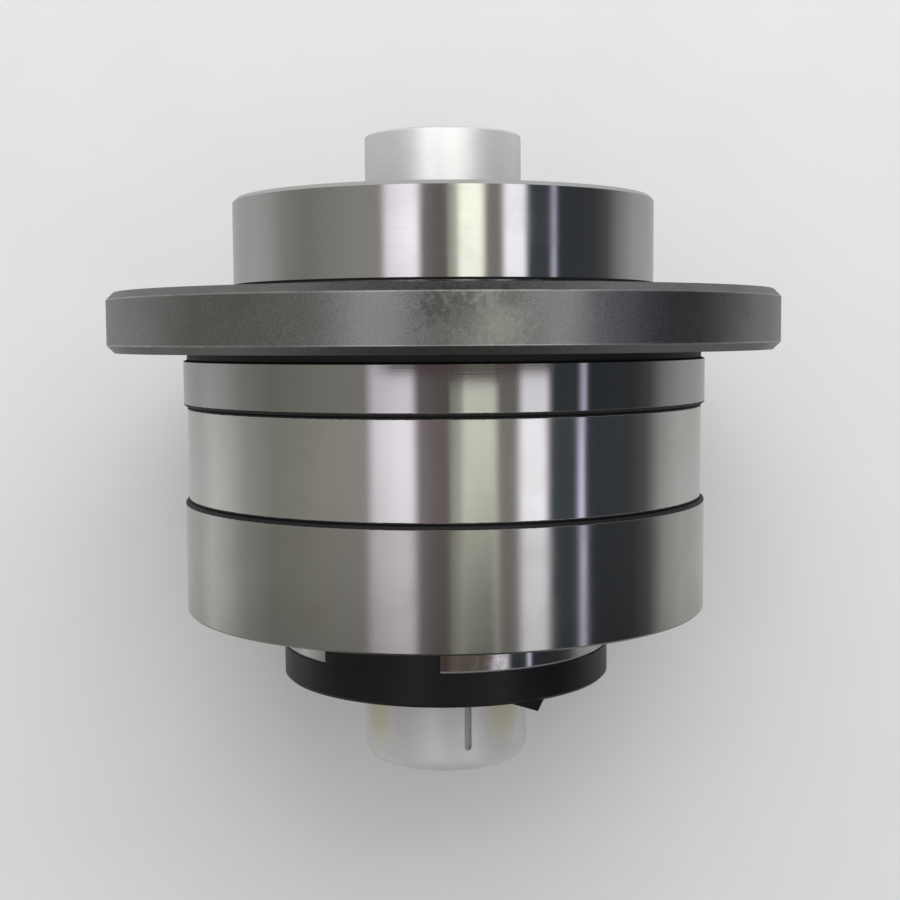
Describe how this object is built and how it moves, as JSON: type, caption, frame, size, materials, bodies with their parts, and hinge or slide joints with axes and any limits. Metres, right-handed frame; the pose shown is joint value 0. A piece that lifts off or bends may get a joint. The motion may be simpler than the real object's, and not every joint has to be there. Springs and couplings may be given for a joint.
{
  "type": "ball screw nut",
  "caption": "Rotary ball screw nut with a built-on flanged support bearing, a pulley boss, resin end caps and a tube arbor with a collar through its bore.",
  "frame": {"origin": "on the axis, in the plane of the flange's seat, the face that lies against the housing", "axes": "+Z along the axis to the pulley boss, X through the middle between the pulley bolts of a pair"},
  "size_m": [0.092, 0.092, 0.0866],
  "materials": {
    "flanged_ring_steel": "ground ring with a dull dark flange",
    "ring_steel": "fine ground",
    "nut_steel": "fine ground",
    "ball_steel": "polished",
    "cage_resin": "natural resin",
    "seal_rubber": "moulded",
    "cap_resin": "moulded, black",
    "wiper_resin": "moulded, dark",
    "screw_steel": "black oxide",
    "arbor_aluminium": "satin"
  },
  "bodies": {
    "outer_rings": {"flanged_outer_ring": "flanged_ring_steel", "outer_ring_spacer": "ring_steel", "plain_outer_ring": "ring_steel", "upper_bearing_seal": "seal_rubber", "lower_bearing_seal": "seal_rubber"},
    "nut": {"ball_nut_body": "nut_steel", "upper_end_cap": "cap_resin", "lower_end_cap": "cap_resin", "upper_end_cap_screws": "screw_steel", "lower_end_cap_screws": "screw_steel", "upper_shaft_wiper": "wiper_resin", "lower_shaft_wiper": "wiper_resin", "first_circuit_balls": "ball_steel", "second_circuit_balls": "ball_steel"},
    "upper_ball_row": {"upper_bearing_balls": "ball_steel", "upper_bearing_cage": "cage_resin"},
    "lower_ball_row": {"lower_bearing_balls": "ball_steel", "lower_bearing_cage": "cage_resin"},
    "arbor": {"shipping_arbor": "arbor_aluminium"}
  },
  "joints": [
    {"name": "nut_spin", "type": "hinge", "parent": "outer_rings", "child": "nut", "pos_m": [0, 0, 0], "axis": [0, 0, 1], "continuous": true},
    {"name": "upper_row_spin", "type": "hinge", "parent": "outer_rings", "child": "upper_ball_row", "pos_m": [0, 0, -0.00112], "axis": [0, 0, 1], "continuous": true},
    {"name": "lower_row_spin", "type": "hinge", "parent": "outer_rings", "child": "lower_ball_row", "pos_m": [0, 0, -0.02622], "axis": [0, 0, 1], "continuous": true},
    {"name": "arbor_slide", "type": "slide", "parent": "nut", "child": "arbor", "axis": [0, 0, 1], "range_m": [-0.018, 0]}
  ],
  "couplings": [
    {"joint": "upper_row_spin", "follows": "nut_spin", "ratio": 0.44633},
    {"joint": "lower_row_spin", "follows": "nut_spin", "ratio": 0.44633}
  ]
}
